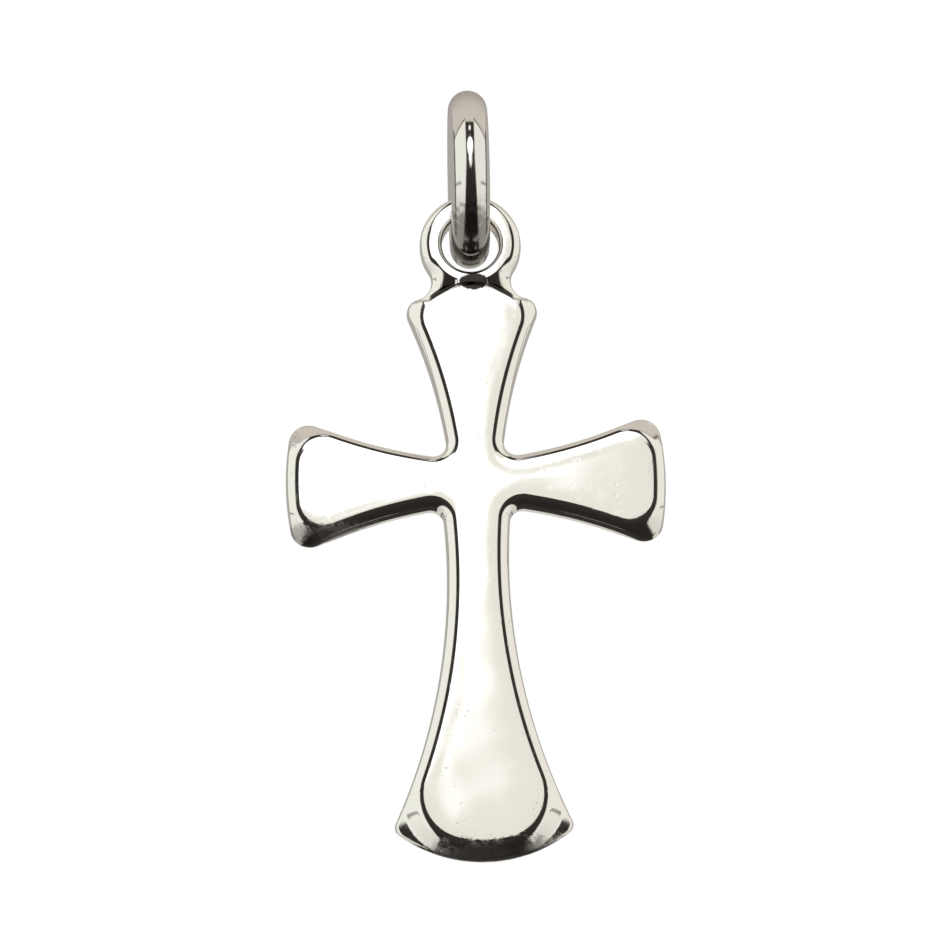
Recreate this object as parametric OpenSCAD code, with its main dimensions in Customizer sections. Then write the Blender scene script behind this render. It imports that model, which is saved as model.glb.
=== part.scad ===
// Cross pendant with flared arms, rounded edges and an eyelet, hanging from a soldered jump ring.
// The origin is where a chain bears on the inside of the ring's top. +Z is up, the face looks along -Y.

/* [Side arms and top arm] */
// Reach of each side arm from the middle of the crossing
arm_reach = 5.7; // [5:0.05:6.6]
// Width of a side arm where its flare begins
arm_waist_w = 1.26; // [1:0.02:1.5]
// Radius of the hollow curve along a side arm
arm_flare_r = 14.3; // [11:0.1:20]
// Width of the top arm where its flare begins
top_waist_w = 1.43; // [1.1:0.01:1.6]
// Radius of the hollow curve along the top arm
top_flare_r = 15.3; // [12:0.1:21]
// Distance from the crossing to where these flares begin, behind the crossing when negative
arm_waist_at = -0.93; // [-1.3:0.01:-0.6]
// Radius of the bowed end of a side arm
arm_end_r = 8.3; // [6:0.1:14]
// Radius of a side arm's corners in the outline
arm_corner_r = 0.59; // [0.3:0.01:0.65]
// Radius in the inner corners of the crossing
crossing_r = 0.4; // [0.2:0.01:0.7]

/* [Long arm] */
// Reach of the long lower arm, from the middle of the crossing
long_reach = 11.46; // [10:0.02:13]
// Width of the long arm where it is narrowest
long_waist_w = 1.87; // [1.6:0.01:2.3]
// Distance from the crossing down to where the long arm is narrowest
long_waist_at = 2.66; // [2:0.02:3.6]
// Radius of the hollow curve along the long arm's side
long_flare_r = 18; // [14:0.1:25]
// Radius of the bowed lower end
long_end_r = 4.25; // [3.8:0.05:7]
// Radius of the two lower corners in the outline
long_corner_r = 0.3; // [0.15:0.01:0.5]

/* [Thickness] */
// Thickness of the cross in the middle of its face
body_t = 1.24; // [1:0.02:1.8]
// Width of the rounded edge round the face
edge_w = 0.4; // [0.25:0.01:0.5]
// Width of the rounded edge along the bowed lower end
foot_edge_w = 0.6; // [0.4:0.02:0.7]
// How much the rounded edge falls from the face to the straight side wall
edge_drop = 0.2; // [0.1:0.01:0.35]
// Width of the rounded edge round the eyelet and its neck
eyelet_edge_w = 0.31; // [0.22:0.01:0.36]
// Radius of the face's corners, inside the rounded edge
face_corner_r = 0.7; // [0.4:0.01:0.85]
// Radius of the face's two lower corners
face_toe_r = 1.3; // [0.8:0.02:1.5]
// How much lower the face lies at the tips of the side arms than in the middle
crown_side = 0.05; // [0:0.01:0.15]
// How much lower the face lies at the end of the long arm than in the middle
crown_end = 0.05; // [0:0.01:0.15]

/* [Eyelet] */
// Outer radius of the eyelet
eyelet_r = 1.53; // [1.4:0.01:1.75]
// Radius of the hole through the eyelet
hole_r = 0.87; // [0.8:0.01:0.95]
// Height of the hole's centre above the middle of the crossing
eyelet_z = 7.33; // [7.15:0.01:7.5]
// Thickness of the eyelet
eyelet_t = 0.98; // [0.8:0.02:1.02]
// Width of the eased rim of the hole
rim_r = 0.13; // [0.05:0.01:0.18]
// Radius of the hollow between the eyelet and the top arm
neck_r = 0.52; // [0.4:0.01:0.7]
// Height above the crossing where the neck is narrowest
neck_z = 6.22; // [6.15:0.01:6.35]
// Radius of the two shoulders below the neck
shoulder_r = 0.5; // [0.35:0.01:0.6]
// Depth of the valley at both sides of the neck, below the eyelet's flat band
valley_depth = 0.14; // [0:0.01:0.16]

/* [Face arch] */
// Height above the crossing to which the face reaches at the eyelet
arch_top = 5.97; // [5.85:0.01:6.05]
// How much lower that upper border of the face lies at its two sides
arch_drop = 0.45; // [0.2:0.01:0.7]
// Distance from the middle to those two sides
arch_half_w = 1.26; // [1:0.01:1.6]
// Length over which the face slopes down to the eyelet
arch_slope = 0.18; // [0.1:0.01:0.22]

/* [Jump ring] */
// Thickness of the ring's round wire
wire_d = 1.17; // [1:0.01:1.2]
// Outer diameter of the jump ring
ring_d = 5.4; // [5:0.05:7]
// Gap between the wire and the top of the eyelet's hole
hang_gap = 0.3; // [0.15:0.01:0.32]

/* [Hidden] */

body_h = body_t / 2;
eyelet_h = eyelet_t / 2;
wire_r = wire_d / 2;
ring_mid_r = ring_d / 2 - wire_r;

// Heights above the middle of the crossing
wire_z = eyelet_z + hole_r - wire_r - hang_gap;
ring_z = wire_z + ring_mid_r;
seat_z = ring_z + ring_mid_r - wire_r;

// Radius of the eyelet's flat band, from which the valley slopes down outwards over valley_w. The
// valley grows from nothing beside the hole's centre to its full depth at valley_rise below it.
BAND_SHARE = 0.95;
band_r = BAND_SHARE * (eyelet_r - eyelet_edge_w);
valley_w = 0.28;
valley_rise = 0.8;

// Heights between which the rows of points begin to bend like the face's upper border
arch_bend_from = arch_top - 1.4;
shoulder_z = arch_top - 0.5;

// Points on each stretch of the outline, from the top of the eyelet down its right side.
// The counts of the crossing's corners and of the arm's end are even, so each has a middle point.
N_EYELET = 14;
N_NECK = 10;
N_CORNER = 6;
N_FLANK = 8;
N_CROSSING = 6;
N_END = 8;
N_LONG = 13;
N_BOTTOM = 8;

// Index of the outline's point in the upper crossing corner, at the arm's tip, in the lower crossing
// corner and at the bottom
I_UPPER = N_EYELET + N_NECK + N_CORNER + N_FLANK + N_CROSSING / 2;
I_TIP = I_UPPER + N_CROSSING / 2 + N_FLANK + N_CORNER + N_END / 2;
I_LOWER = 2 * I_TIP - I_UPPER;
I_BOTTOM = I_LOWER + N_CROSSING / 2 + N_LONG + N_CORNER + N_BOTTOM;
N_RING = 2 * I_BOTTOM;

// Last point of the eyelet, and the points where the corners of the arm and of the long arm begin
I_EYELET = N_EYELET - 1;
I_ARM_END = I_TIP - N_END / 2 - N_CORNER;
I_LONG_END = I_BOTTOM - N_BOTTOM - N_CORNER;

// Slopes of the rounded edge, in degrees, from the face to the straight side wall
SLOPES = [0, 13, 26, 38, 50];
LAST_SLOPE = SLOPES[len(SLOPES) - 1];
// Shares of the way from the middle line of an arm to the rounded edge. At the first one the eyelet's
// flat band ends.
INNER = [BAND_SHARE, 0.6, 0.3];

// Centres of the circles that make the outline: the eyelet, the neck, the hollow sides and the ends
EYELET = [0, eyelet_z];
NECK = [sqrt(pow(eyelet_r + neck_r, 2) - pow(eyelet_z - neck_z, 2)), neck_z];
TOP_SIDE = [top_waist_w / 2 + top_flare_r, arm_waist_at];
ARM_UPPER_SIDE = [arm_waist_at, arm_waist_w / 2 + arm_flare_r];
ARM_END = [arm_reach - arm_end_r, 0];
ARM_LOWER_SIDE = [ARM_UPPER_SIDE[0], -ARM_UPPER_SIDE[1]];
LONG_SIDE = [long_waist_w / 2 + long_flare_r, -long_waist_at];
LONG_END = [0, long_end_r - long_reach];

function smooth(s) = let (c = max(0, min(1, s))) c * c * (3 - 2 * c);

function heading(from, to) = atan2(to[1] - from[1], to[0] - from[0]);

// Point where the circles round a and b meet, to the left of the way from a to b
function meet(a, ra, b, rb) =
    let (d = norm(b - a), u = (b - a) / d, k = (ra * ra - rb * rb + d * d) / (2 * d))
    a + k * u + sqrt(ra * ra - k * k) * [-u[1], u[0]];

// n points along an arc, without its last one. A bowed arc runs clockwise, a hollow one the other way.
function bowed(c, r, from, to, n) =
    let (turn = ((from - to) % 360 + 360) % 360)
    [for (i = [0 : n - 1]) c + r * [cos(from - turn * i / n), sin(from - turn * i / n)]];

function hollow(c, r, from, to, n) =
    let (turn = ((to - from) % 360 + 360) % 360)
    [for (i = [0 : n - 1]) c + r * [cos(from + turn * i / n), sin(from + turn * i / n)]];

// Right half of the outline, inset by t, from the eyelet's top to the lowest point. Round the eyelet and
// its neck the inset is narrower, and along the lower end it is wider.
function half_outline(t) =
    let (
        s = t / edge_w,
        te = eyelet_edge_w * s,
        tf = foot_edge_w * s,
        top_corner_r = shoulder_r * (1 - s) + face_corner_r * s,
        corner_r = arm_corner_r * (1 - s) + face_corner_r * s,
        toe_r = long_corner_r * (1 - s) + face_toe_r * s,
        shoulder = meet(TOP_SIDE, top_flare_r + t + top_corner_r, NECK, neck_r + te + top_corner_r),
        upper = meet(TOP_SIDE, top_flare_r - crossing_r, ARM_UPPER_SIDE, arm_flare_r - crossing_r),
        arm_top = meet(ARM_UPPER_SIDE, arm_flare_r + t + corner_r, ARM_END, arm_end_r - t - corner_r),
        arm_low = [arm_top[0], -arm_top[1]],
        lower = meet(ARM_LOWER_SIDE, arm_flare_r - crossing_r, LONG_SIDE, long_flare_r - crossing_r),
        toe = meet(LONG_SIDE, long_flare_r + t + toe_r, LONG_END, long_end_r - tf - toe_r)
    )
    concat(
        bowed(EYELET, eyelet_r - te, 90, heading(EYELET, NECK), N_EYELET),
        hollow(NECK, neck_r + te, heading(NECK, EYELET), heading(NECK, shoulder), N_NECK),
        bowed(shoulder, top_corner_r, heading(shoulder, NECK), heading(shoulder, TOP_SIDE), N_CORNER),
        hollow(TOP_SIDE, top_flare_r + t, heading(TOP_SIDE, shoulder), heading(TOP_SIDE, upper), N_FLANK),
        hollow(upper, crossing_r + t, heading(TOP_SIDE, upper), heading(ARM_UPPER_SIDE, upper), N_CROSSING),
        hollow(ARM_UPPER_SIDE, arm_flare_r + t,
            heading(ARM_UPPER_SIDE, upper), heading(ARM_UPPER_SIDE, arm_top), N_FLANK),
        bowed(arm_top, corner_r, heading(arm_top, ARM_UPPER_SIDE), heading(ARM_END, arm_top), N_CORNER),
        bowed(ARM_END, arm_end_r - t, heading(ARM_END, arm_top), heading(ARM_END, arm_low), N_END),
        bowed(arm_low, corner_r, heading(ARM_END, arm_low), heading(arm_low, ARM_LOWER_SIDE), N_CORNER),
        hollow(ARM_LOWER_SIDE, arm_flare_r + t,
            heading(ARM_LOWER_SIDE, arm_low), heading(ARM_LOWER_SIDE, lower), N_FLANK),
        hollow(lower, crossing_r + t, heading(ARM_LOWER_SIDE, lower), heading(LONG_SIDE, lower), N_CROSSING),
        hollow(LONG_SIDE, long_flare_r + t, heading(LONG_SIDE, lower), heading(LONG_SIDE, toe), N_LONG),
        bowed(toe, toe_r, heading(toe, LONG_SIDE), heading(LONG_END, toe), N_CORNER),
        bowed(LONG_END, long_end_r - tf, heading(LONG_END, toe), -90, N_BOTTOM),
        [[0, tf - long_reach]]
    );

function whole_outline(t) =
    let (half = half_outline(t))
    concat(half, [for (i = [I_BOTTOM - 1 : -1 : 1]) [-half[i][0], half[i][1]]]);

// Half the thickness over a point: the crowned face, and above its arch the eyelet's lower level
function half_thickness(p) =
    let (
        face = body_h - crown_side * pow(p[0] / arm_reach, 2) - crown_end * pow(p[1] / long_reach, 2),
        valley = smooth((norm(p - EYELET) - band_r) / valley_w) * smooth((eyelet_z - p[1]) / valley_rise),
        low = eyelet_h - valley_depth * valley,
        s = smooth((p[1] + arch_fall(p[0]) - arch_top) / arch_slope)
    )
    face * (1 - s) + low * s;

// Share of the half thickness that is left in the rounded edge where it slopes by the angle a
function edge_share(a) = 1 - edge_drop / body_h * (1 - cos(a)) / (1 - cos(LAST_SLOPE));

// How much the face's upper border lies below its top, at a distance from the middle
function arch_fall(x) = arch_drop * min(1, pow(x / arch_half_w, 2));

// The part of v that lies beyond an end's limit is shrunk to a share s
function shrunk(v, limit, s) = sign(v) * (min(abs(v), limit) + s * max(0, abs(v) - limit));

// Point at a share s of the way from the middle line of its arm to point i of the list border.
// Round the eyelet the way starts at its middle, and near the neck it is bent like the face's arch.
function inward(border, i, s) =
    let (
        p = border[i],
        k = i > I_BOTTOM ? N_RING - i : i,
        bend = smooth((p[1] - arch_bend_from) / (shoulder_z - arch_bend_from))
            * smooth((eyelet_z - p[1]) / (eyelet_z - neck_z))
    )
    k <= I_EYELET ? EYELET + s * (p - EYELET)
        : k <= I_UPPER ? [s * p[0], p[1] + bend * (arch_fall(p[0]) - arch_fall(s * p[0]))]
        : k < I_LOWER ? [shrunk(p[0], border[I_ARM_END][0], s), s * p[1]]
        : [s * p[0], shrunk(p[1], -border[I_LONG_END][1], s)];

// Rings of points from the face's inner ring out to the outermost line, side -1 in front and 1 behind
function face_rings(side) =
    let (border = whole_outline(edge_w))
    concat(
        [for (k = [len(INNER) - 1 : -1 : 0]) [for (i = [0 : N_RING - 1])
            let (p = inward(border, i, INNER[k]))
            [p[0], side * half_thickness(p), p[1]]]],
        [for (a = SLOPES) [for (p = whole_outline(edge_w * (1 - sin(a) / sin(LAST_SLOPE))))
            [p[0], side * edge_share(a) * half_thickness(p), p[1]]]]
    );

function reversed(list) = [for (i = [len(list) - 1 : -1 : 0]) list[i]];

// Triangles from the point hub to each side of a closed line of points
function fan(line, hub) = [for (i = [0 : len(line) - 1]) [line[i], line[(i + 1) % len(line)], hub]];

// The cross and its eyelet before the hole is cut
module blank() {
    front = face_rings(-1);
    rings = concat(front, reversed(face_rings(1)));
    sides = [for (k = [0 : len(rings) - 2], i = [0 : N_RING - 1])
        let (a = N_RING * k + i, b = N_RING * k + (i + 1) % N_RING)
        each [[a, a + N_RING, b + N_RING], [a, b + N_RING, b]]];

    // Strips across the innermost ring, arm by arm
    top_strips = [for (i = [I_EYELET : I_UPPER - 1]) [N_RING - i, i, i + 1, N_RING - i - 1]];
    low_strips = [for (i = [I_LOWER : I_LONG_END - 1]) [N_RING - i, i, i + 1, N_RING - i - 1]];
    right_strips = [for (k = [1 : I_ARM_END - I_UPPER - 1])
        [I_UPPER + k, I_UPPER + k + 1, I_LOWER - k - 1, I_LOWER - k]];
    left_strips = [for (f = right_strips) [for (i = [3 : -1 : 0]) N_RING - f[i]]];

    // Lines of points round the middle of the crossing, the eyelet, the end of each side arm and the
    // end of the long arm, each closed by a fan from a point inside it
    right_end = [for (i = [I_ARM_END : I_UPPER + I_LOWER - I_ARM_END]) i];
    lines = [
        [I_UPPER, I_UPPER + 1, I_LOWER - 1, I_LOWER,
            N_RING - I_LOWER, N_RING - I_LOWER + 1, N_RING - I_UPPER - 1, N_RING - I_UPPER],
        [for (i = [-I_EYELET : I_EYELET]) (i + N_RING) % N_RING],
        right_end,
        [for (i = reversed(right_end)) N_RING - i],
        [for (i = [I_LONG_END : N_RING - I_LONG_END]) i]
    ];
    border = whole_outline(edge_w);
    half_way = INNER[len(INNER) - 1] / 2;
    end_x = shrunk(border[I_TIP][0], border[I_ARM_END][0], half_way);
    end_z = shrunk(border[I_BOTTOM][1], -border[I_LONG_END][1], half_way);
    hubs = [[0, 0], EYELET, [end_x, 0], [-end_x, 0], [0, end_z]];

    first_hub = N_RING * len(rings);
    n_hubs = len(hubs);
    last_ring = N_RING * (len(rings) - 1);
    strips = concat(top_strips, low_strips, right_strips, left_strips);
    front_caps = concat(strips, [for (k = [0 : n_hubs - 1]) each fan(lines[k], first_hub + k)]);
    back_caps = concat(
        [for (f = strips) [for (i = reversed(f)) i + last_ring]],
        [for (k = [0 : n_hubs - 1]) each
            fan([for (i = reversed(lines[k])) i + last_ring], first_hub + n_hubs + k)]
    );
    points = concat(
        [for (ring = rings) each ring],
        [for (side = [-1, 1], p = hubs) [p[0], side * half_thickness(p), p[1]]]
    );
    polyhedron(points = points, faces = concat(sides, front_caps, back_caps), convexity = 8);
}

// Round hole along the Y axis, with an eased rim in front and behind
module eyelet_hole() {
    mouth_r = hole_r + 2 * rim_r;
    mouth_y = eyelet_h + rim_r;
    wall_y = eyelet_h - rim_r;
    rotate([90, 0, 0])
        rotate_extrude($fn = 96)
        polygon([
            [0, -mouth_y], [mouth_r, -mouth_y], [hole_r, -wall_y],
            [hole_r, wall_y], [mouth_r, mouth_y], [0, mouth_y]
        ]);
}

module cross() {
    color("silver")
        translate([0, 0, -seat_z])
        difference() {
            blank();
            translate([0, 0, eyelet_z]) eyelet_hole();
        }
}

module jump_ring() {
    color("gainsboro")
        translate([0, 0, ring_z - seat_z])
        rotate([0, 90, 0])
        rotate_extrude($fn = 128)
        translate([ring_mid_r, 0])
        circle(d = wire_d, $fn = 48);
}

cross();
jump_ring();
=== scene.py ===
import math
from collections import namedtuple

import bpy
import numpy as np
from mathutils import Matrix, Vector
from mathutils.geometry import delaunay_2d_cdt


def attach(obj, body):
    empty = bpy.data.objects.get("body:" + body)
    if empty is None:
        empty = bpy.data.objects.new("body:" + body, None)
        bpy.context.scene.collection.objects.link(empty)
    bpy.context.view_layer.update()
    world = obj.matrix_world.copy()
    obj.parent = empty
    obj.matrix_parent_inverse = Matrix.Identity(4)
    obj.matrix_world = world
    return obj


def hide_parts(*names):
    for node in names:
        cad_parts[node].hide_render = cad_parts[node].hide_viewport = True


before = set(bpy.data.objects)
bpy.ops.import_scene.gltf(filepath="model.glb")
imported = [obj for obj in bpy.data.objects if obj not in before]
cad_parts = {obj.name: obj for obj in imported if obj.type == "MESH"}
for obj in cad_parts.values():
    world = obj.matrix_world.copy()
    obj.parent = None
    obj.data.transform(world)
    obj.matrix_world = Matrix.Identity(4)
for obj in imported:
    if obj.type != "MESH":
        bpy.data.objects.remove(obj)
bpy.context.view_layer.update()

MM = 0.001


# Measures of the pendant in millimetres, as in its CAD source. Heights count from the middle of the
# crossing, which lies SEAT_Z below the origin. BODY_H and EYELET_H are half thicknesses.
ARM_REACH = 5.7
ARM_WAIST_W = 1.26
ARM_FLARE_R = 14.3
TOP_WAIST_W = 1.43
TOP_FLARE_R = 15.3
ARM_WAIST_AT = -0.93
ARM_END_R = 8.3
ARM_CORNER_R = 0.59
CROSSING_R = 0.4
LONG_REACH = 11.46
LONG_WAIST_W = 1.87
LONG_WAIST_AT = 2.66
LONG_FLARE_R = 18
LONG_END_R = 4.25
LONG_CORNER_R = 0.3
BODY_H = 0.62
EDGE_W = 0.4
FOOT_EDGE_W = 0.6
EYELET_EDGE_W = 0.31
FACE_CORNER_R = 0.7
FACE_TOE_R = 1.3
CROWN_SIDE = 0.05
CROWN_END = 0.05
EYELET_R = 1.53
HOLE_R = 0.87
EYELET_Z = 7.33
EYELET_H = 0.49
RIM_R = 0.13
NECK_R = 0.52
NECK_Z = 6.22
SHOULDER_R = 0.5
ARCH_TOP = 5.97
ARCH_DROP = 0.45
ARCH_HALF_W = 1.26
ARCH_SLOPE = 0.18
WIRE_R = 0.585
RING_MID_R = 2.115
SEAT_Z = 10.96
RING_Z = -(RING_MID_R - WIRE_R)

# The eyelet's flat band ends at BAND_R. The valleys on both sides of the neck slope down from it, and
# grow over VALLEY_RISE from VALLEY_FROM below the eyelet's middle. A flat bridge lies between them.
BAND_R = 0.95 * (EYELET_R - EYELET_EDGE_W)
VALLEY_SLOPE = 0.42
VALLEY_BEND = 0.04
VALLEY_FROM = 0.4
VALLEY_RISE = 0.5
BRIDGE_HALF_W = 0.4
BRIDGE_SIDE = 0.1

# The rounded edge leaves the face at EDGE_FROM degrees, is at EDGE_MILD after MILD_W, and ends its wide
# arc at EDGE_TO. The small arc of radius WALL_ARC_R leads on to WALL_FROM, where the slightly bowed side
# wall begins. Where the edge is wider than EDGE_W, its middle runs on at the slope that it has CREASE_W
# from the face. The wall of such an edge begins EDGE_DROP and what it fell on the way below the face, but
# stays within WALL_SHARES of BODY_H.
EDGE_FROM = 2.5
EDGE_MILD = 12
MILD_W = 0.13
EDGE_TO = 50
WALL_FROM = 78
WALL_ARC_R = 0.07
EDGE_DROP = 0.2
CREASE_W = 0.28
WALL_SHARES = (0.45, 0.6)

# The polished face falls a little towards its border: how much, and over what length. The eyelet's
# flat band does so too, and its values take over within BAND_PILLOW_RISE from BAND_PILLOW_FROM up.
PILLOW = 0.0087
PILLOW_L = 0.2
BAND_PILLOW = 0.004
BAND_PILLOW_L = 0.06
BAND_PILLOW_FROM = ARCH_TOP - 1
BAND_PILLOW_RISE = 0.9

# The mesh: longest side of the outline's pieces, fewest points on an arc, and points round the hole and
# over its eased rim. The triangles inside the hole's mouth have their middles within MOUTH_CUT of its
# radius, and all others have theirs further out.
STEP = 0.06
ARC_LEAST = 14
HOLE_POINTS = 160
RIM_POINTS = 9
MOUTH_CUT = 0.9997

# The profile of the edge has ARC_POINTS on each of its four parts. A row of the mesh lies at every sixth
# point of the first part, and so on.
ARC_POINTS = 59
ROW_STEPS = (6, 5, 11, 14)

# Points inside the face: a coarse grid below FINE_FROM, a fine one above, BAND_ROWS circles on the band,
# and ARCH_ROWS rows along the arch that reach ARCH_MARGIN of its slope past both its sides. The fine grid
# leaves ARCH_CLEAR of the slope free there, and all points keep BORDER_CLEAR of a step from the border.
COARSE_STEP = 0.11
FINE_STEP = 0.04
FINE_FROM = 5.15
BORDER_CLEAR = 0.4
BAND_ROWS = 5
ARCH_STEP = 0.03
ARCH_ROWS = 15
ARCH_MARGIN = 0.12
ARCH_CLEAR = 0.3
NECK_REACH = 2

RING_POINTS = 224
WIRE_POINTS = 72

# The camera looks up at the crossing from below and slightly from the left. The photograph shows
# MM_A_PIXEL millimetres a pixel there, and the middle of the crossing is CROSSING_PX in it.
PHOTO_PX = 950
MM_A_PIXEL = 0.03
CROSSING_PX = (475.9, 483.7)
VIEW_FROM_BELOW = math.radians(12.2)
VIEW_FROM_LEFT = math.radians(1.65)
ROLL = math.radians(1.39)
DISTANCE = 180.0
SENSOR = 36.0
VIEW = Vector((math.cos(VIEW_FROM_BELOW) * math.sin(VIEW_FROM_LEFT),
               math.cos(VIEW_FROM_BELOW) * math.cos(VIEW_FROM_LEFT), math.sin(VIEW_FROM_BELOW)))


def smooth(s):
    c = np.clip(s, 0, 1)
    return c * c * (3 - 2 * c)


def heading(p, q):
    return math.degrees(math.atan2(q[1] - p[1], q[0] - p[0]))


def meet(a, ra, b, rb):
    """Point where the circles round a and b meet, to the left of the way from a to b."""
    d = math.dist(a, b)
    u = ((b[0] - a[0]) / d, (b[1] - a[1]) / d)
    k = (ra * ra - rb * rb + d * d) / (2 * d)
    h = math.sqrt(ra * ra - k * k)
    return (a[0] + k * u[0] - h * u[1], a[1] + k * u[1] + h * u[0])


EYELET = (0, EYELET_Z)
NECK = (math.sqrt((EYELET_R + NECK_R) ** 2 - (EYELET_Z - NECK_Z) ** 2), NECK_Z)
TOP_SIDE = (TOP_WAIST_W / 2 + TOP_FLARE_R, ARM_WAIST_AT)
UPPER_SIDE = (ARM_WAIST_AT, ARM_WAIST_W / 2 + ARM_FLARE_R)
ARM_END = (ARM_REACH - ARM_END_R, 0)
LOWER_SIDE = (UPPER_SIDE[0], -UPPER_SIDE[1])
LONG_SIDE = (LONG_WAIST_W / 2 + LONG_FLARE_R, -LONG_WAIST_AT)
LONG_END = (0, LONG_END_R - LONG_REACH)


def arcs(t):
    """Arcs of the outline's right half, inset by t: centre, radius, start and end heading, bowed or not."""
    s = t / EDGE_W
    te = EYELET_EDGE_W * s
    tf = FOOT_EDGE_W * s
    top_r = SHOULDER_R * (1 - s) + FACE_CORNER_R * s
    corner_r = ARM_CORNER_R * (1 - s) + FACE_CORNER_R * s
    toe_r = LONG_CORNER_R * (1 - s) + FACE_TOE_R * s
    shoulder = meet(TOP_SIDE, TOP_FLARE_R + t + top_r, NECK, NECK_R + te + top_r)
    upper = meet(TOP_SIDE, TOP_FLARE_R - CROSSING_R, UPPER_SIDE, ARM_FLARE_R - CROSSING_R)
    arm_top = meet(UPPER_SIDE, ARM_FLARE_R + t + corner_r, ARM_END, ARM_END_R - t - corner_r)
    arm_low = (arm_top[0], -arm_top[1])
    lower = meet(LOWER_SIDE, ARM_FLARE_R - CROSSING_R, LONG_SIDE, LONG_FLARE_R - CROSSING_R)
    toe = meet(LONG_SIDE, LONG_FLARE_R + t + toe_r, LONG_END, LONG_END_R - tf - toe_r)
    return [
        (EYELET, EYELET_R - te, 90, heading(EYELET, NECK), True),
        (NECK, NECK_R + te, heading(NECK, EYELET), heading(NECK, shoulder), False),
        (shoulder, top_r, heading(shoulder, NECK), heading(shoulder, TOP_SIDE), True),
        (TOP_SIDE, TOP_FLARE_R + t, heading(TOP_SIDE, shoulder), heading(TOP_SIDE, upper), False),
        (upper, CROSSING_R + t, heading(TOP_SIDE, upper), heading(UPPER_SIDE, upper), False),
        (UPPER_SIDE, ARM_FLARE_R + t, heading(UPPER_SIDE, upper), heading(UPPER_SIDE, arm_top), False),
        (arm_top, corner_r, heading(arm_top, UPPER_SIDE), heading(ARM_END, arm_top), True),
        (ARM_END, ARM_END_R - t, heading(ARM_END, arm_top), heading(ARM_END, arm_low), True),
        (arm_low, corner_r, heading(ARM_END, arm_low), heading(arm_low, LOWER_SIDE), True),
        (LOWER_SIDE, ARM_FLARE_R + t, heading(LOWER_SIDE, arm_low), heading(LOWER_SIDE, lower), False),
        (lower, CROSSING_R + t, heading(LOWER_SIDE, lower), heading(LONG_SIDE, lower), False),
        (LONG_SIDE, LONG_FLARE_R + t, heading(LONG_SIDE, lower), heading(LONG_SIDE, toe), False),
        (toe, toe_r, heading(toe, LONG_SIDE), heading(LONG_END, toe), True),
        (LONG_END, LONG_END_R - tf, heading(LONG_END, toe), -90, True),
    ]


def turn_of(start, end, bowed):
    return (start - end) % 360 if bowed else (end - start) % 360


# Points on each arc, the same for every inset
COUNTS = [max(ARC_LEAST, math.ceil(math.radians(turn_of(a, b, bowed)) * r / STEP))
          for _, r, a, b, bowed in arcs(0)]


def outline(t):
    """The whole outline inset by t, clockwise from the eyelet's top, one row of x and z a point."""
    half = []
    for (centre, r, start, end, bowed), n in zip(arcs(t), COUNTS):
        turn = turn_of(start, end, bowed) * (-1 if bowed else 1)
        angles = np.radians(start + turn * np.arange(n) / n)
        half.append(np.stack([centre[0] + r * np.cos(angles), centre[1] + r * np.sin(angles)], axis=1))
    half.append(np.array([[0, t / EDGE_W * FOOT_EDGE_W - LONG_REACH]]))
    half = np.concatenate(half)
    return np.concatenate([half, half[-2:0:-1] * [-1, 1]])


def arch_fall(x):
    return ARCH_DROP * np.minimum(1, (x / ARCH_HALF_W) ** 2)


def waves(x, z):
    """Slight unevenness that hand polishing leaves, in millimetres."""
    return (0.0011 * np.sin(1.7 * x + 0.9 * z + 0.4) + 0.0009 * np.sin(-1.1 * x + 1.9 * z + 2.1)
            + 0.0005 * np.sin(3.3 * x + 1.3 * z + 4.0) + 0.0004 * np.sin(1.5 * x - 3.9 * z + 1.2))


def half_thickness(x, z):
    face = BODY_H - CROWN_SIDE * (x / ARM_REACH) ** 2 - CROWN_END * (z / LONG_REACH) ** 2 + waves(x, z)
    beyond = np.maximum(np.hypot(x, z - EYELET_Z) - BAND_R, 0)
    valley = VALLEY_SLOPE * (np.sqrt(beyond ** 2 + VALLEY_BEND ** 2) - VALLEY_BEND)
    valley = valley * smooth((EYELET_Z - VALLEY_FROM - z) / VALLEY_RISE)
    low = EYELET_H - valley * smooth((np.abs(x) - BRIDGE_HALF_W) / BRIDGE_SIDE)
    s = smooth((z + arch_fall(x) - ARCH_TOP) / ARCH_SLOPE)
    return face * (1 - s) + low * s


def pillow_at(z, distance=0.0):
    """Fall and slope of the pillow at a distance from the border, for the face and for the eyelet's band."""
    k = smooth((z - BAND_PILLOW_FROM) / BAND_PILLOW_RISE)
    face = PILLOW * np.exp(-distance / PILLOW_L)
    band = BAND_PILLOW * np.exp(-distance / BAND_PILLOW_L)
    return face * (1 - k) + band * k, face / PILLOW_L * (1 - k) + band / BAND_PILLOW_L * k


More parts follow.
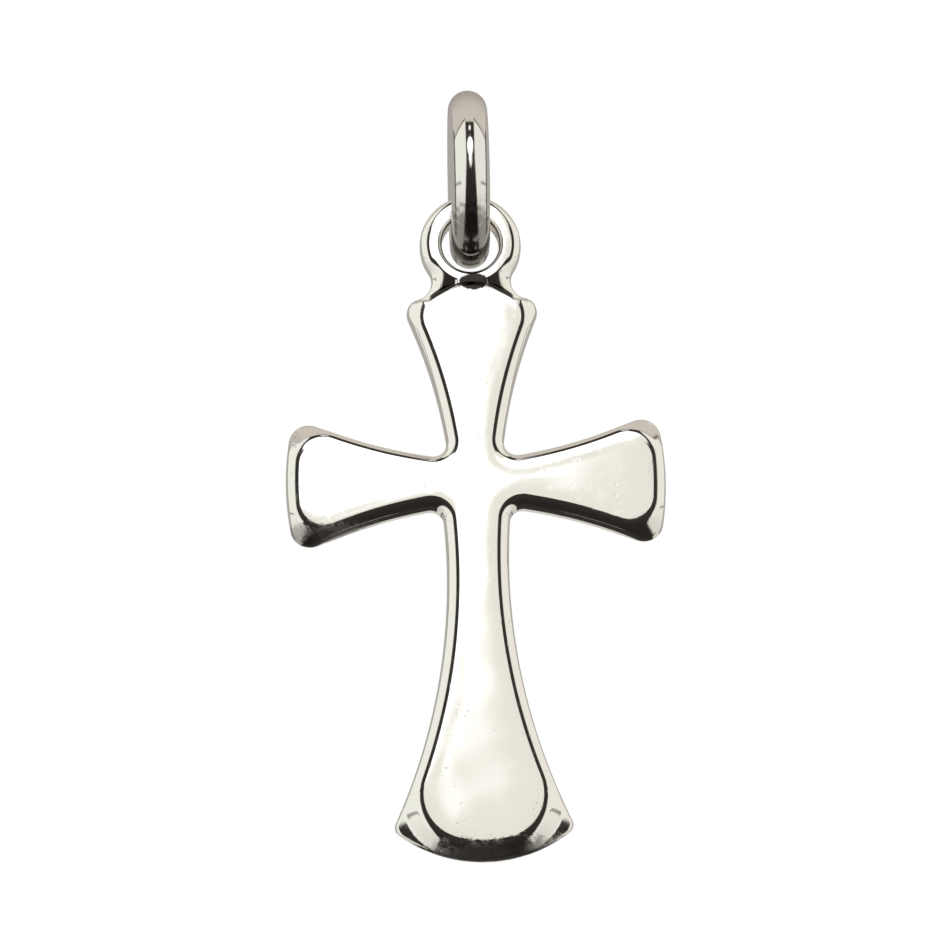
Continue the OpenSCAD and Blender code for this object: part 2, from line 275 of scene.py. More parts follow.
def edge_profile():
    """Distance from the face's border and drop below it, over an edge of the normal width."""
    def rise(a, b):
        return np.sin(np.radians(b)) - np.sin(np.radians(a))

    def fall(a, b):
        return np.cos(np.radians(a)) - np.cos(np.radians(b))

    # The wide arc's radius and the wall's depend on each other, so both are found in rounds
    mild_r = MILD_W / rise(EDGE_FROM, EDGE_MILD)
    wall_r = 2.0
    for _ in range(20):
        edge_r = (EDGE_W - MILD_W - WALL_ARC_R * rise(EDGE_TO, WALL_FROM) - wall_r * rise(WALL_FROM, 90)) \
            / rise(EDGE_MILD, EDGE_TO)
        wall_h = BODY_H - mild_r * fall(EDGE_FROM, EDGE_MILD) - edge_r * fall(EDGE_MILD, EDGE_TO) \
            - WALL_ARC_R * fall(EDGE_TO, WALL_FROM)
        wall_r = wall_h / fall(WALL_FROM, 90)
    u, drop = [np.zeros(1)], [np.zeros(1)]
    parts = ((mild_r, EDGE_FROM, EDGE_MILD), (edge_r, EDGE_MILD, EDGE_TO), (WALL_ARC_R, EDGE_TO, WALL_FROM),
             (wall_r, WALL_FROM, 90))
    for r, a, b in parts:
        angles = np.linspace(a, b, ARC_POINTS + 1)[1:]
        u.append(u[-1][-1] + r * rise(a, angles))
        drop.append(drop[-1][-1] + r * fall(a, angles))
    return np.concatenate(u), np.concatenate(drop)


PROFILE_U, PROFILE_DROP = edge_profile()

# Places of the mesh rows over the edge, and of the last row in the middle plane
ROW_AT = [np.arange(k * ARC_POINTS, (k + 1) * ARC_POINTS, every) for k, every in enumerate(ROW_STEPS)]
ROW_U = PROFILE_U[np.concatenate(ROW_AT + [[len(ROW_STEPS) * ARC_POINTS]])]


def edge_level(from_face, from_rim):
    """Share of the half thickness left at a distance from the face's border and from the outline."""
    ahead = 0.01
    crease = np.interp(CREASE_W, PROFILE_U, PROFILE_DROP)
    slope = (np.interp(CREASE_W + ahead, PROFILE_U, PROFILE_DROP) - crease) / ahead
    width = np.maximum(from_face + from_rim, 1e-6)
    at = from_face * np.maximum(EDGE_W / width, 1)
    extra = np.maximum(width - EDGE_W, 0)
    drop = np.where(at < CREASE_W, np.interp(at, PROFILE_U, PROFILE_DROP),
                    np.where(at < CREASE_W + extra, crease + slope * (at - CREASE_W),
                             np.interp(at - extra, PROFILE_U, PROFILE_DROP) + slope * extra))
    # A wider edge must still end in the middle plane, so its wall is shorter
    wall_from = np.clip(EDGE_DROP + slope * extra, WALL_SHARES[0] * BODY_H, WALL_SHARES[1] * BODY_H)
    over = np.maximum(drop - wall_from, 0) / (BODY_H + slope * extra - wall_from)
    drop = np.where(drop > wall_from, wall_from + over * (BODY_H - wall_from), drop)
    return 1 - np.minimum(drop, BODY_H) / BODY_H


def inside(points, loop):
    """True for each point that lies inside the closed loop."""
    x, z = points[:, :1], points[:, 1:]
    a, b = loop, np.roll(loop, -1, axis=0)
    crosses = (a[:, 1] > z) != (b[:, 1] > z)
    with np.errstate(divide="ignore", invalid="ignore"):
        at = a[:, 0] + (z - a[:, 1]) * (b[:, 0] - a[:, 0]) / (b[:, 1] - a[:, 1])
    return (crosses & (x < at)).sum(axis=1) % 2 == 1


def border_distance(points, loop):
    """Distance from each point to the loop, and the direction away from the nearest point on it."""
    a, b = loop, np.roll(loop, -1, axis=0)
    ab = b - a
    distance, away = np.empty(len(points)), np.empty((len(points), 2))
    at_once = 500
    for i in range(0, len(points), at_once):
        p = points[i:i + at_once]
        ap = p[:, None, :] - a
        k = np.clip((ap * ab).sum(axis=2) / (ab * ab).sum(axis=1), 0, 1)
        off = ap - k[:, :, None] * ab
        d = np.hypot(off[:, :, 0], off[:, :, 1])
        nearest = d.argmin(axis=1)
        row = np.arange(len(p))
        distance[i:i + at_once] = d[row, nearest]
        away[i:i + at_once] = off[row, nearest] / np.maximum(d[row, nearest], 1e-9)[:, None]
    return distance, away


def unit(v):
    return v / np.maximum(np.linalg.norm(v, axis=-1, keepdims=True), 1e-12)


def grid(step, x0, x1, z0, z1):
    """Points step apart, with every second row moved by half a step."""
    xs, zs = np.arange(x0, x1, step), np.arange(z0, z1, step)
    x, z = np.meshgrid(xs, zs)
    x = x + (np.arange(len(zs)) % 2)[:, None] * step / 2
    return np.stack([x.ravel(), z.ravel()], axis=1)


HOLE_ANGLES = -2 * math.pi * np.arange(HOLE_POINTS) / HOLE_POINTS


def eyelet_circle(r):
    """Points on a circle round the eyelet's middle, clockwise, one row of x and z a point."""
    return np.stack([r * np.cos(HOLE_ANGLES), EYELET_Z + r * np.sin(HOLE_ANGLES)], axis=1)


def eyelet_distance(points):
    return np.hypot(points[:, 0], points[:, 1] - EYELET_Z)


def new_piece(name, vertices, faces, normals, material):
    mesh = bpy.data.meshes.new(name)
    mesh.from_pydata((vertices * MM).tolist(), [], faces)
    mesh.polygons.foreach_set("use_smooth", [True] * len(mesh.polygons))
    mesh.normals_split_custom_set_from_vertices(normals.tolist())
    mesh.materials.append(material)
    piece = bpy.data.objects.new(name, mesh)
    bpy.context.scene.collection.objects.link(piece)
    return piece


def face_points(border, mouth_r):
    """Points inside the face, without its border and the mouth of the hole."""
    coarse = grid(COARSE_STEP, -ARM_REACH, ARM_REACH, -LONG_REACH, FINE_FROM)
    fine = grid(FINE_STEP, -NECK_REACH, NECK_REACH, FINE_FROM, EYELET_Z + EYELET_R)
    fine = fine[eyelet_distance(fine) > BAND_R + FINE_STEP / 2]
    above = fine[:, 1] + arch_fall(fine[:, 0]) - ARCH_TOP
    fine = fine[(above < -ARCH_CLEAR * ARCH_SLOPE) | (above > (1 + ARCH_CLEAR) * ARCH_SLOPE)]
    band = [eyelet_circle(r) for r in np.linspace(mouth_r, BAND_R, BAND_ROWS)[1:]]
    arch = []
    for k, share in enumerate(np.linspace(-ARCH_MARGIN, 1 + ARCH_MARGIN, ARCH_ROWS)):
        x = np.arange(-NECK_REACH, NECK_REACH, ARCH_STEP) + ARCH_STEP / 2 * (k % 2)
        arch.append(np.stack([x, ARCH_TOP - arch_fall(x) + share * ARCH_SLOPE], axis=1))
    arch = np.concatenate(arch)
    arch = arch[eyelet_distance(arch) > BAND_R + ARCH_STEP / 2]
    points = np.concatenate([coarse, fine, arch] + band)
    points = points[inside(points, border)]
    distance, _ = border_distance(points, border)
    return points[distance > np.where(points[:, 1] > FINE_FROM, FINE_STEP, COARSE_STEP) * BORDER_CLEAR]


def triangulate(border, mouth, mouth_r, points):
    """All points of the face, the border and the mouth first, and the triangles between them."""
    n_border, n_mouth = len(border), len(mouth)
    flat = np.concatenate([border, mouth, points])
    edges = [(i, (i + 1) % n_border) for i in range(n_border)]
    edges += [(n_border + i, n_border + (i + 1) % n_mouth) for i in range(n_mouth)]
    found = delaunay_2d_cdt([Vector(p) for p in flat.tolist()], edges, [], 0, 1e-7, True)
    kept, triangles = np.array([list(p) for p in found[0]]), np.array(found[2])
    assert len(kept) == len(flat) and np.abs(kept - flat).max() < 1e-5
    middle = flat[triangles].mean(axis=1)
    keep = inside(middle, border) & (eyelet_distance(middle) > mouth_r * MOUTH_CUT)
    return flat, triangles[keep]


def face_surface(flat, border):
    """Places and normals of the face's points on the front."""
    n_border = len(border)
    distance, away = border_distance(flat, border)
    along = np.roll(border, -1, axis=0) - np.roll(border, 1, axis=0)
    inward = unit(np.stack([along[:, 1], -along[:, 0]], axis=1))
    distance[:n_border], away[:n_border] = 0, inward
    x, z = flat[:, 0], flat[:, 1]
    pillow, tilt = pillow_at(z, distance)
    y = half_thickness(x, z) - pillow
    e = 1e-4
    slope_x = (half_thickness(x + e, z) - half_thickness(x - e, z)) / (2 * e) + tilt * away[:, 0]
    slope_z = (half_thickness(x, z + e) - half_thickness(x, z - e)) / (2 * e) + tilt * away[:, 1]
    normals = unit(np.stack([-slope_x, -np.ones(len(x)), -slope_z], axis=1))
    return np.stack([x, -y, z], axis=1), normals


def edge_surface(border):
    """Rows over the rounded edge, from the front border to the back border, and normals of the inner rows."""
    rim = outline(0)
    half_rows = []
    for u in ROW_U:
        p = outline(EDGE_W - u)
        level = edge_level(border_distance(p, border)[0] if u > 0 else np.zeros(len(border)),
                           border_distance(p, rim)[0] if u < EDGE_W else np.zeros(len(border)))
        h = half_thickness(p[:, 0], p[:, 1]) - pillow_at(p[:, 1])[0]
        half_rows.append(np.stack([p[:, 0], -level * h, p[:, 1]], axis=1))
    rows = np.array(half_rows + [row * [1, -1, 1] for row in half_rows[-2::-1]])
    forward = np.diff(rows, axis=0)
    lengths = np.linalg.norm(forward, axis=2, keepdims=True)
    directions = forward / lengths
    across = lengths[:-1] * directions[1:] + lengths[1:] * directions[:-1]
    lengthways = np.roll(rows[1:-1], -1, axis=1) - np.roll(rows[1:-1], 1, axis=1)
    return rows, unit(np.cross(lengthways, across))


def hole_surface():
    """Rows over the eased rim and the wall of the hole, and their normals."""
    eased = [(HOLE_R + RIM_R * (1 - math.sin(a)), EYELET_H - RIM_R * (1 - math.cos(a)), a)
             for a in np.radians(np.linspace(0, 90, RIM_POINTS)[1:])]
    profile = [(r, -h, math.cos(a), math.sin(a)) for r, h, a in eased]
    profile += [(r, h, -math.cos(a), math.sin(a)) for r, h, a in eased[::-1]]
    c, s = np.cos(HOLE_ANGLES), np.sin(HOLE_ANGLES)
    rows = np.array([np.stack([r * c, h + 0 * c, EYELET_Z + r * s], axis=1) for r, h, _, _ in profile])
    normals = np.array([np.stack([-k * c, -f + 0 * c, -k * s], axis=1) for _, _, f, k in profile])
    return rows, normals


def cross_mesh():
    border = outline(EDGE_W)
    mouth_r = HOLE_R + RIM_R
    flat, triangles = triangulate(border, eyelet_circle(mouth_r), mouth_r, face_points(border, mouth_r))
    front, front_normals = face_surface(flat, border)
    rows, row_normals = edge_surface(border)
    hole, hole_normals = hole_surface()

    back = front * [1, -1, 1]
    back_normals = front_normals * [1, -1, 1]
    vertices = np.concatenate([front, back, rows[1:-1].reshape(-1, 3), hole.reshape(-1, 3)])
    normals = np.concatenate([front_normals, back_normals, row_normals.reshape(-1, 3),
                              hole_normals.reshape(-1, 3)])

    n_flat, n_border = len(flat), len(border)
    first_row = 2 * n_flat
    first_hole = first_row + (len(rows) - 2) * n_border
    faces = triangles.tolist() + (triangles[:, ::-1] + n_flat).tolist()

    def strip(lines, turned):
        for a, b in zip(lines, lines[1:]):
            quads = np.stack([a, np.roll(a, -1), np.roll(b, -1), b], axis=1)
            faces.extend((quads[:, ::-1] if turned else quads).tolist())

    loop, ring = np.arange(n_border), np.arange(HOLE_POINTS)
    strip([loop] + [first_row + k * n_border + loop for k in range(len(rows) - 2)] + [n_flat + loop], False)
    strip([n_border + ring] + [first_hole + k * HOLE_POINTS + ring for k in range(len(hole))]
          + [n_flat + n_border + ring], True)
    vertices[:, 2] -= SEAT_Z
    return vertices, faces, normals


def ring_mesh():
    u = (2 * math.pi * np.arange(RING_POINTS) / RING_POINTS)[:, None]
    v = (2 * math.pi * np.arange(WIRE_POINTS) / WIRE_POINTS)[None, :]
    normals = np.stack([np.sin(v) + 0 * u, -np.cos(u) * np.cos(v), np.sin(u) * np.cos(v)], axis=2)
    normals = normals.reshape(-1, 3)
    reach = np.stack([0 * u + 0 * v, -np.cos(u) + 0 * v, np.sin(u) + 0 * v], axis=2).reshape(-1, 3)
    vertices = RING_MID_R * reach + WIRE_R * normals + [0, 0, RING_Z]
    index = np.arange(RING_POINTS * WIRE_POINTS).reshape(RING_POINTS, WIRE_POINTS)
    a, b = index, np.roll(index, -1, axis=0)
    quads = np.stack([a, np.roll(a, -1, axis=1), np.roll(b, -1, axis=1), b], axis=2).reshape(-1, 4)
    return vertices, quads.tolist(), normals


class Tree:
    """Short calls for building a node tree."""

    def __init__(self, owner):
        owner.use_nodes = True
        self.nodes, self.links = owner.node_tree.nodes, owner.node_tree.links
        self.nodes.clear()

    def node(self, kind, inputs=None, **settings):
        node = self.nodes.new(kind)
        for key, value in settings.items():
            setattr(node, key, value)
        for key, value in (inputs or {}).items():
            self.put(value, node.inputs[key])
        return node

    def put(self, value, socket):
        if isinstance(value, bpy.types.NodeSocket):
            self.links.new(value, socket)
        else:
            socket.default_value = value

    def math(self, operation, a, b=0.0, c=0.0):
        return self.node("ShaderNodeMath", {0: a, 1: b, 2: c}, operation=operation).outputs[0]

    def add(self, a, b):
        return self.math("ADD", a, b)

    def less(self, a, b):
        return self.math("SUBTRACT", a, b)

    def times(self, a, b):
        return self.math("MULTIPLY", a, b)

    def most(self, a, b):
        return self.math("MAXIMUM", a, b)

    def length(self, a, b):
        return self.math("SQRT", self.add(self.math("POWER", a, 2.0), self.math("POWER", b, 2.0)))

    def step(self, value, low, high):
        """0 below low and 1 above high, smooth between; turned round where low is the higher one."""
        if low > high:
            return self.less(1.0, self.step(value, high, low))
        return self.node("ShaderNodeMapRange", {"Value": value, "From Min": low, "From Max": high},
                         interpolation_type="SMOOTHSTEP").outputs["Result"]

    def band(self, value, start, full, fading, end):
        """1 from full to fading, smooth down to 0 at start and at end."""
        return self.times(self.step(value, start, full), self.step(value, end, fading))

    def all_of(self, *masks):
        result = masks[0]
        for mask in masks[1:]:
            result = self.times(result, mask)
        return result

    def mix(self, factor, a, b):
        node = self.node("ShaderNodeMix", {0: factor, 6: a, 7: b}, data_type="RGBA")
        return node.outputs[2]


def tone(r, g, b, strength=1.0):
    return (r * strength, g * strength, b * strength, 1)


# Where the parts of the studio lie, in degrees of tilt sideways (X) and upwards (Z). Two numbers are a soft
# edge: nothing at the first and all at the second. Four are a band with a soft edge at both sides. A
# share says how much of a line's tone shows.
PANELS_MEET_X = (3, -3)
FLOOR_Z = (-12, -45)
PANEL_SEAM_Z, PANEL_SEAM_X, PANEL_SEAM_SHARE = (-16.5, -15.5, -14.5, -13.5), (27, 33), 0.75
OPENING_X, OPENING_SPREAD, OPENING_DARKER_Z = (14.0, 11.0), 0.2, (0.0, -30)
UNDER_Z, UNDER_X = (-50, -60), (27, 22)
NOT_BEHIND_Z = (-88, -86)
CEILING_Z, CEILING_FALL_FROM_X, CEILING_FALL = (29.5, 30.5), 11.0, 0.3
CEILING_LINE_Z, CEILING_LINE_X, CEILING_LINE_SHARE = (28.5, 29.5, 30.5, 31.5), (12, 13), 0.8
CEILING_MIDDLE_Z, CEILING_MIDDLE_X = (26.5, 27.5), (13, 12)
CEILING_DARKER_Z = (35, 70)
BACK_WALL_X, BACK_WALL_Z = (53, 55), (70, 50)
GAP_X, GAP_Z = (49.5, 51, 54, 56), (28, 24)
WINDOW_Z, WINDOW_X = (20, 21, 23, 24), (3.6, 2.2)

# The lamp is two ovals: height of the middle, half width and half height. It is cream to the right of a
# slanting line, below a level line, and in two patches beside it.
LAMP_OVALS = ((8.5, 9.0, 7.0), (0.0, 5.0, 5.2))
LAMP_EDGE = (1.0, 0.93)
CREAM_LINE_X, CREAM_LINE_SLANT, CREAM_LINE_EDGE = 0.75, 0.62, (-0.35, 0.4)
CREAM_BELOW_Z = (-2.7, -3.6)
CREAM_RIGHT_Z, CREAM_RIGHT_X = (0.25, 0.55, 1.3, 1.9), (0.1, 0.45)
CREAM_LEFT_Z, CREAM_LEFT_X = (-0.7, -1.3), (-0.4, -0.8)


def build_world():
    """A soft studio: a lamp in front, light side panels, a beige ceiling, and a dark opening in front.

    The studio is laid out by the tilt that polished metal needs to show it to somebody who looks along
    VIEW: tilt_x in degrees to the right and tilt_z in degrees upwards, both 0 for an upright face.
    """
    world = bpy.context.scene.world or bpy.data.worlds.new("studio")
    bpy.context.scene.world = world
    w = Tree(world)
    direction = w.node("ShaderNodeTexCoord").outputs["Generated"]
    half_way = w.node("ShaderNodeVectorMath", {0: direction, 1: tuple(VIEW)}, operation="SUBTRACT").outputs[0]
    half_way = w.node("ShaderNodeVectorMath", {0: half_way}, operation="NORMALIZE").outputs[0]
    xyz = w.node("ShaderNodeSeparateXYZ", {0: half_way})
    to_degrees = 180 / math.pi
    tilt_x = w.times(w.math("ARCSINE", xyz.outputs[0]), to_degrees)
    tilt_z = w.times(w.math("ARCTAN2", xyz.outputs[2], w.times(xyz.outputs[1], -1.0)), to_degrees)
    aside = w.math("ABSOLUTE", tilt_x)

    # Side panels, the left one cooler than the right one, and a floor of nearly the same tone
    panel = w.mix(w.step(tilt_x, *PANELS_MEET_X), tone(0.84, 0.81, 0.74), tone(0.87, 0.87, 0.80))
    colour = w.mix(w.step(tilt_z, *FLOOR_Z), panel, tone(0.62, 0.60, 0.55))
    seam = w.all_of(w.band(tilt_z, *PANEL_SEAM_Z), w.step(aside, *PANEL_SEAM_X))
    colour = w.mix(w.times(seam, PANEL_SEAM_SHARE), colour, tone(0.10, 0.09, 0.08))

    # Dark opening from above the lamp down to under the object, wider below, but not behind the object
    spread = w.times(w.most(w.times(tilt_z, -1.0), 0.0), OPENING_SPREAD)
    not_behind = w.step(tilt_z, *NOT_BEHIND_Z)
    opening = w.all_of(w.step(w.less(aside, spread), *OPENING_X), not_behind)
    dark = w.mix(w.step(tilt_z, *OPENING_DARKER_Z), tone(0.035, 0.028, 0.025), tone(0.021, 0.018, 0.017))
    colour = w.mix(opening, colour, dark)
    under = w.all_of(w.step(tilt_z, *UNDER_Z), w.step(aside, *UNDER_X), not_behind)
    colour = w.mix(under, colour, tone(0.032, 0.028, 0.026))

    # Ceiling above a dark line that lies lower at the sides, and above the dark opening too
    line_at = w.add(tilt_z, w.times(w.most(w.less(aside, CEILING_FALL_FROM_X), 0.0), CEILING_FALL))
    ceiling = w.mix(w.step(tilt_z, *CEILING_DARKER_Z), tone(0.60, 0.555, 0.49), tone(0.36, 0.33, 0.30))
    in_middle = w.all_of(w.step(tilt_z, *CEILING_MIDDLE_Z), w.step(aside, *CEILING_MIDDLE_X))
    colour = w.mix(w.most(w.step(line_at, *CEILING_Z), in_middle), colour, ceiling)
    line = w.all_of(w.band(line_at, *CEILING_LINE_Z), w.step(aside, *CEILING_LINE_X))
    colour = w.mix(w.times(line, CEILING_LINE_SHARE), colour, tone(0.06, 0.05, 0.045))

    # A grey wall at the sides behind the panels, and the dark gap before it
    back_wall = w.all_of(w.step(aside, *BACK_WALL_X), w.step(tilt_z, *BACK_WALL_Z))
    colour = w.mix(back_wall, colour, tone(0.42, 0.40, 0.37))
    gap = w.all_of(w.band(aside, *GAP_X), w.step(tilt_z, *GAP_Z))
    colour = w.mix(gap, colour, tone(0.07, 0.065, 0.06))

    # Small window above the lamp
    window = w.all_of(w.band(tilt_z, *WINDOW_Z), w.step(aside, *WINDOW_X))
    colour = w.mix(window, colour, tone(1, 1, 1, 1.2))

    # The lamp in front, wider in its upper part, and cream at its right and lower side
    def oval(at_z, half_wide, half_high):
        dx = w.math("DIVIDE", tilt_x, half_wide)
        dz = w.math("DIVIDE", w.less(tilt_z, at_z), half_high)
        return w.step(w.length(dx, dz), *LAMP_EDGE)

    lamp = w.most(oval(*LAMP_OVALS[0]), oval(*LAMP_OVALS[1]))
    slanting = w.less(w.less(tilt_x, CREAM_LINE_X), w.times(tilt_z, CREAM_LINE_SLANT))
    cream = w.most(w.step(slanting, *CREAM_LINE_EDGE), w.step(tilt_z, *CREAM_BELOW_Z))
    cream = w.most(cream, w.all_of(w.band(tilt_z, *CREAM_RIGHT_Z), w.step(tilt_x, *CREAM_RIGHT_X)))
    cream = w.most(cream, w.all_of(w.step(tilt_z, *CREAM_LEFT_Z), w.step(tilt_x, *CREAM_LEFT_X)))
    lamp_colour = w.mix(cream, tone(1.0, 1.0, 0.99, 1.5), tone(0.82, 0.80, 0.73))
    colour = w.mix(lamp, colour, lamp_colour)

    # The camera sees plain white
    seen = w.node("ShaderNodeLightPath").outputs["Is Camera Ray"]
    colour = w.mix(seen, colour, tone(1, 1, 1))
    background = w.node("ShaderNodeBackground", {"Color": colour, "Strength": 1.0})
    output = w.node("ShaderNodeOutputWorld")
    w.links.new(background.outputs[0], output.inputs["Surface"])


# A patch of stain or of painted shade runs through the whole thickness. Its middle counts from the
# origin, in millimetres like its half widths.
StainAndShade = namedtuple("StainAndShade", "x z half_x half_z ragged dark rough dents")

# Painted dark reflection of the ring just below it, a dented corner of one arm and a scuff at its other
# corner, a film on the foot, and wear on the lower edges of the arms and of the foot
CROSS_STAINS_AND_SHADE = [
    # Painted dark reflection of the ring, near black, on the bridge just below the hole
    StainAndShade(x=0.07, z=6.12 - SEAT_Z, half_x=0.43, half_z=0.27, ragged=0.2, dark=1.0, rough=0.08, dents=0.0),
    StainAndShade(x=-5.25, z=-1.55 - SEAT_Z, half_x=0.45, half_z=0.3, ragged=0.5, dark=0.45, rough=0.05, dents=7.0),
    StainAndShade(x=-5.35, z=1.4 - SEAT_Z, half_x=0.2, half_z=0.2, ragged=0.6, dark=0.1, rough=0.02, dents=5.0),
    StainAndShade(x=2.2, z=-11.2 - SEAT_Z, half_x=1.3, half_z=0.4, ragged=0.9, dark=0.4, rough=0.24, dents=4.0),
    StainAndShade(x=2.95, z=-10.6 - SEAT_Z, half_x=0.3, half_z=0.35, ragged=0.9, dark=0.3, rough=0.2, dents=3.0),
    StainAndShade(x=-3.8, z=-1.5 - SEAT_Z, half_x=1.6, half_z=0.3, ragged=1.0, dark=0.0, rough=0.26, dents=1.0),
    StainAndShade(x=3.6, z=-1.3 - SEAT_Z, half_x=1.6, half_z=0.25, ragged=0.9, dark=0.0, rough=0.03, dents=1.2),
    StainAndShade(x=-0.5, z=-11.3 - SEAT_Z, half_x=1.6, half_z=0.35, ragged=1.0, dark=0.0, rough=0.26, dents=2.0),
]

# Painted shadow on the ring's lower bend, where it passes through the eyelet's hole
RING_PAINTED_SHADOW = [
    # Painted shadow: the bottom of the ring's wire darkened where it sits in the hole
    StainAndShade(x=0.0, z=RING_Z - RING_MID_R - 0.1, half_x=0.8, half_z=0.75, ragged=0.7, dark=0.6, rough=0.08,
          dents=2.0),
]

# How many times a metre the silver's patterns repeat, and the soft edges of what counts as one
CLOUD_SCALE, CLOUD_LOW, CLOUD_HIGH = 900.0, 0.35, 0.65
GRAIN_SCALE = 26000.0
BLOTCH_SCALE, BLOTCH_EDGE = 4200.0, (0.52, 0.75)
DENT_SCALE = 4600.0
PIT_SCALE, PIT_EDGE = 4200.0, (0.24, 0.04)
PIT_FIELD_SCALE, PIT_FIELD_EDGE = 1500.0, (0.46, 0.66)

# Scratches of two directions: stretched scale, turn, and the noise that counts as a scratch
LEVEL_SCRATCHES = ((1500, 1500, 22000), (0.2, 0.5, 0.1), (0.68, 0.76))
STEEP_SCRATCHES = ((20000, 1500, 1200), (0.1, -0.35, 0.2), (0.69, 0.77))

# What the patterns add to the roughness, and to the height in shares of BUMP_HEIGHT millimetres
BLOTCH_ROUGH, SCRATCH_ROUGH, PIT_ROUGH = 0.05, 0.08, 0.12
GRAIN_HEIGHT, SCRATCH_DEPTH, PIT_DEPTH = 0.10, 0.2, 0.6
BUMP_HEIGHT = 0.004
BUMP_STRENGTH = 0.35

# Hollows within HOLLOW_REACH millimetres of other metal are duller. A share says how much of it shows.
HOLLOW_REACH = 0.6
HOLLOW_EDGE, HOLLOW_SHARE = (0.55, 0.15), 0.45
PIT_SHARE = 0.3

# The painted shade along the face's arch reaches ARCH_SHADE_HALF_W to each side of a line that lies
# ARCH_SHADE_AT of
# ARCH_SLOPE up the arch, and ARCH_SHADE_WIDENS further past ARCH_SHADE_WIDER_X. It ends at ARCH_SHADE_END_X.
ARCH_SHADE_AT = 0.7
ARCH_SHADE_HALF_W = 0.05
ARCH_SHADE_WIDENS = 0.09
ARCH_SHADE_WIDER_X = (0.45, 0.9)
ARCH_SHADE_END_X = (1.32, 1.2)
ARCH_SHADE_EDGE = (0.015, -0.015)


def silver(name, base, low_rough, high_rough, stains_and_shade, arch_painted_shade=0.0):
    """Polished silver with slight roughness clouds, fine scratches, pits, dulled hollows, stains and painted
    shade.
    """
    material = bpy.data.materials.new(name)
    m = Tree(material)
    place = m.node("ShaderNodeTexCoord").outputs["Object"]
    xyz = m.node("ShaderNodeSeparateXYZ", {0: place})

    def noise(vector, scale, detail=2.0, rough=0.5):
        return m.node("ShaderNodeTexNoise", {"Vector": vector, "Scale": scale, "Detail": detail,
                                             "Roughness": rough}).outputs["Fac"]

    def scratches(scale, turn, edge):
        stretched = m.node("ShaderNodeMapping", {"Vector": place, "Rotation": turn, "Scale": scale})
        return m.step(noise(stretched.outputs[0], 1.0, 3.0, 0.6), *edge)

    clouds = noise(place, CLOUD_SCALE, 4.0)
    grain = noise(place, GRAIN_SCALE)
    blotch = noise(place, BLOTCH_SCALE, 3.0, 0.6)
    soft_dents = noise(place, DENT_SCALE, 1.0)
    lines = m.most(scratches(*LEVEL_SCRATCHES), scratches(*STEEP_SCRATCHES))
    pit_cells = m.node("ShaderNodeTexVoronoi", {"Vector": place, "Scale": PIT_SCALE, "Randomness": 1.0})
    pit_field = m.step(noise(place, PIT_FIELD_SCALE), *PIT_FIELD_EDGE)
    pits = m.all_of(m.step(pit_cells.outputs["Distance"], *PIT_EDGE), pit_field)

    dark, rough, dents = 0.0, 0.0, 0.0
    # Each patch darkens the colour: real stains, and painted shade where the ring's reflection and shadow
    # fall
    for patch in stains_and_shade:
        dx = m.times(m.less(xyz.outputs[0], patch.x * MM), 1 / (patch.half_x * MM))
        dz = m.times(m.less(xyz.outputs[2], patch.z * MM), 1 / (patch.half_z * MM))
        radius = m.add(m.length(dx, dz), m.times(m.less(blotch, 0.5), 3 * patch.ragged))
        mask = m.step(radius, 1 + patch.ragged / 2, 1 - patch.ragged / 2)
        dark = m.most(dark, m.times(mask, patch.dark))
        rough = m.most(rough, m.times(mask, patch.rough))
        dents = m.most(dents, m.times(mask, patch.dents))

    # Painted shade: a near-black band along the step of the face's arch, where the step between face and neck
    # shows dark
    if arch_painted_shade > 0:
        aside = m.times(m.math("ABSOLUTE", xyz.outputs[0]), 1 / MM)
        fall = m.times(m.math("POWER", m.times(aside, 1 / ARCH_HALF_W), 2.0), ARCH_DROP)
        up = m.add(m.times(xyz.outputs[2], 1 / MM), SEAT_Z - ARCH_TOP - ARCH_SHADE_AT * ARCH_SLOPE)
        off = m.math("ABSOLUTE", m.add(up, fall))
        half = m.add(m.times(m.step(aside, *ARCH_SHADE_WIDER_X), ARCH_SHADE_WIDENS), ARCH_SHADE_HALF_W)
        mask = m.all_of(m.step(m.less(off, half), *ARCH_SHADE_EDGE), m.step(aside, *ARCH_SHADE_END_X))
        dark = m.most(dark, m.times(mask, arch_painted_shade))

    hollow = m.node("ShaderNodeAmbientOcclusion", {"Distance": HOLLOW_REACH * MM}, samples=8).outputs["AO"]
    dull = m.step(hollow, *HOLLOW_EDGE)
    colour = m.mix(m.times(dull, HOLLOW_SHARE), base, tone(0.55, 0.48, 0.38))
    colour = m.mix(m.times(pits, PIT_SHARE), colour, tone(0.45, 0.42, 0.38))
    colour = m.mix(dark, colour, tone(0.038, 0.031, 0.028))
    clouded = m.node("ShaderNodeMapRange", {"Value": clouds, "From Min": CLOUD_LOW, "From Max": CLOUD_HIGH,
                                            "To Min": low_rough, "To Max": high_rough}).outputs[0]
    rough = m.add(rough, clouded)
    rough = m.add(rough, m.times(m.step(blotch, *BLOTCH_EDGE), BLOTCH_ROUGH))
    rough = m.add(rough, m.times(lines, SCRATCH_ROUGH))
    rough = m.add(rough, m.times(pits, PIT_ROUGH))
    height = m.less(m.times(grain, GRAIN_HEIGHT), m.times(lines, SCRATCH_DEPTH))
    height = m.less(height, m.times(pits, PIT_DEPTH))
    height = m.add(height, m.times(dents, soft_dents))
    bump = m.node("ShaderNodeBump", {"Strength": BUMP_STRENGTH, "Distance": BUMP_HEIGHT * MM,
                                     "Height": height}).outputs[0]
    shader = m.node("ShaderNodeBsdfPrincipled", {"Base Color": colour, "Metallic": 1.0, "Roughness": rough,
                                                 "Normal": bump})
    output = m.node("ShaderNodeOutputMaterial")
    m.links.new(shader.outputs[0], output.inputs["Surface"])
    return material


def add_piece(name, mesh, material, node, body):
    piece = new_piece(name, *mesh, material)
    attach(piece, body)
    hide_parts(node)


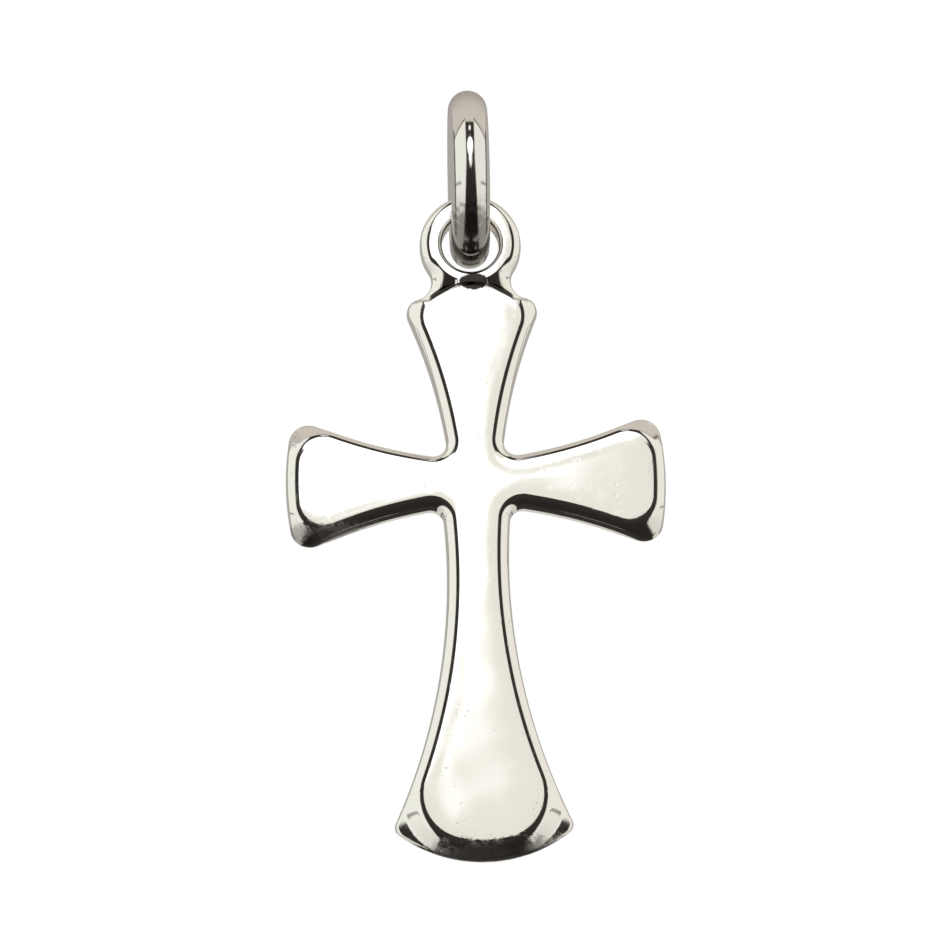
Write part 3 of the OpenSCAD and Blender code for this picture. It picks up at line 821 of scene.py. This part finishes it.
def add_floor():
    material = bpy.data.materials.new("floor_paper")
    m = Tree(material)
    place = m.node("ShaderNodeTexCoord").outputs["Object"]
    fibre = m.node("ShaderNodeTexNoise", {"Vector": place, "Scale": 400.0, "Detail": 3.0}).outputs["Fac"]
    colour = m.mix(fibre, tone(0.86, 0.86, 0.85), tone(0.90, 0.90, 0.89))
    shader = m.node("ShaderNodeBsdfPrincipled", {"Base Color": colour, "Roughness": 0.9})
    output = m.node("ShaderNodeOutputMaterial")
    m.links.new(shader.outputs[0], output.inputs["Surface"])
    # In metres
    half, floor_z = 0.9, -0.066
    corners = [(x * half, z * half, floor_z) for x, z in ((-1, -1), (1, -1), (1, 1), (-1, 1))]
    mesh = bpy.data.meshes.new("floor")
    mesh.from_pydata(corners, [], [(0, 1, 2, 3)])
    mesh.materials.append(material)
    floor = bpy.data.objects.new("floor", mesh)
    floor.visible_glossy = False
    bpy.context.scene.collection.objects.link(floor)


def add_light():
    lamp = bpy.data.lights.new("soft_light", "AREA")
    lamp.shape, lamp.size, lamp.energy = "DISK", 0.5, 3.0
    light = bpy.data.objects.new("soft_light", lamp)
    light.location = (-0.15, -0.3, 0.45)
    light.rotation_euler = (Vector((0, 0, -0.02)) - light.location).to_track_quat("-Z", "Y").to_euler()
    light.visible_glossy = False
    bpy.context.scene.collection.objects.link(light)


def add_camera():
    data = bpy.data.cameras.new("camera")
    data.sensor_width = SENSOR
    data.lens = SENSOR * DISTANCE / (PHOTO_PX * MM_A_PIXEL)
    data.clip_start, data.clip_end = 0.01, 10
    camera = bpy.data.objects.new("camera", data)
    right = VIEW.cross(Vector((0, 0, 1))).normalized()
    up = right.cross(VIEW)
    roll = Matrix.Rotation(ROLL, 3, VIEW)
    right, up = roll @ right, roll @ up
    off_right, off_down = ((px - PHOTO_PX / 2) * MM_A_PIXEL for px in CROSSING_PX)
    place = Vector((0, 0, -SEAT_Z)) - (off_right * right - off_down * up) - DISTANCE * VIEW
    rotation = Matrix((right, up, -VIEW)).transposed()
    camera.matrix_world = Matrix.Translation(place * MM) @ rotation.to_4x4()
    bpy.context.scene.collection.objects.link(camera)
    bpy.context.scene.camera = camera


cross_silver = silver("cross_silver", tone(0.97, 0.96, 0.935), low_rough=0.045, high_rough=0.08,
                      stains_and_shade=CROSS_STAINS_AND_SHADE, arch_painted_shade=0.97)
ring_silver = silver("ring_silver", tone(0.93, 0.92, 0.90), low_rough=0.07, high_rough=0.11,
                     stains_and_shade=RING_PAINTED_SHADOW)
add_piece("polished_cross", cross_mesh(), cross_silver, "cross", "pendant")
add_piece("polished_ring", ring_mesh(), ring_silver, "jump_ring", "ring")

build_world()
add_floor()
add_light()
add_camera()
bpy.context.scene.view_settings.view_transform = "Standard"
bpy.context.scene.view_settings.look = "None"
